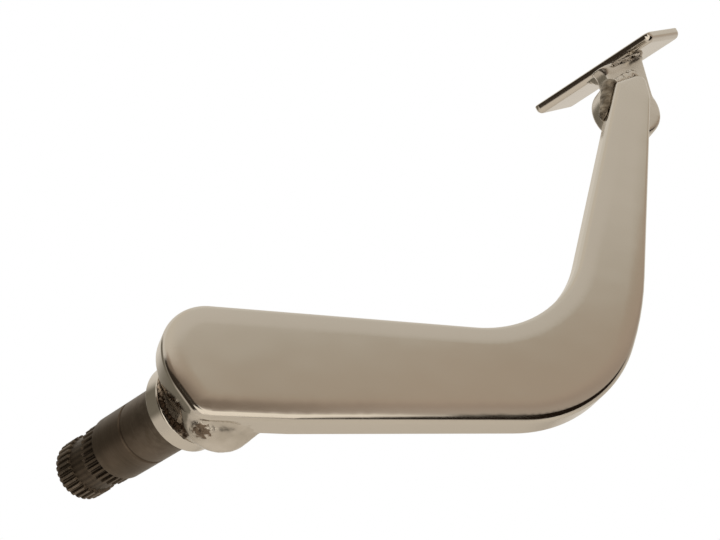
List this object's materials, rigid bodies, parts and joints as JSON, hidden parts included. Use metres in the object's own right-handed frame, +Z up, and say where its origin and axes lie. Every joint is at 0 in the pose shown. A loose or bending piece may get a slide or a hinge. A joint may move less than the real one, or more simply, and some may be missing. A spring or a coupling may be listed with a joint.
{
  "type": "rear brake pedal",
  "caption": "Chrome-plated bent foot brake lever with a splined pivot shaft standing out of its back and a bare pad plate behind its upper end.",
  "frame": {"origin": "on the pivot shaft's axis, at the back (thrust) face of the collar", "axes": "+Y along the pivot shaft to its free splined end, +X forward along the lever, +Z up"},
  "size_m": [0.2121, 0.1654, 0.185],
  "materials": {
    "chrome_plate": "polished chrome plate, buffed smooth, slightly warm",
    "shaft_steel": "bare, browned machined steel, semi-matt",
    "weld_bead": "undressed weld under thin plating, rough and darker"
  },
  "bodies": {
    "root": {"pedal_arm": "chrome_plate", "pivot_shaft": "shaft_steel", "thrust_collar": "chrome_plate", "hub_boss": "chrome_plate", "hub_weld_notch": "weld_bead", "hub_weld_fillet": "chrome_plate", "pad_stem": "chrome_plate", "pad_plate": "chrome_plate", "neck_weld_front": "weld_bead", "neck_weld_side": "weld_bead", "pad_weld_front": "chrome_plate", "pad_weld_rear": "chrome_plate"}
  },
  "joints": []
}
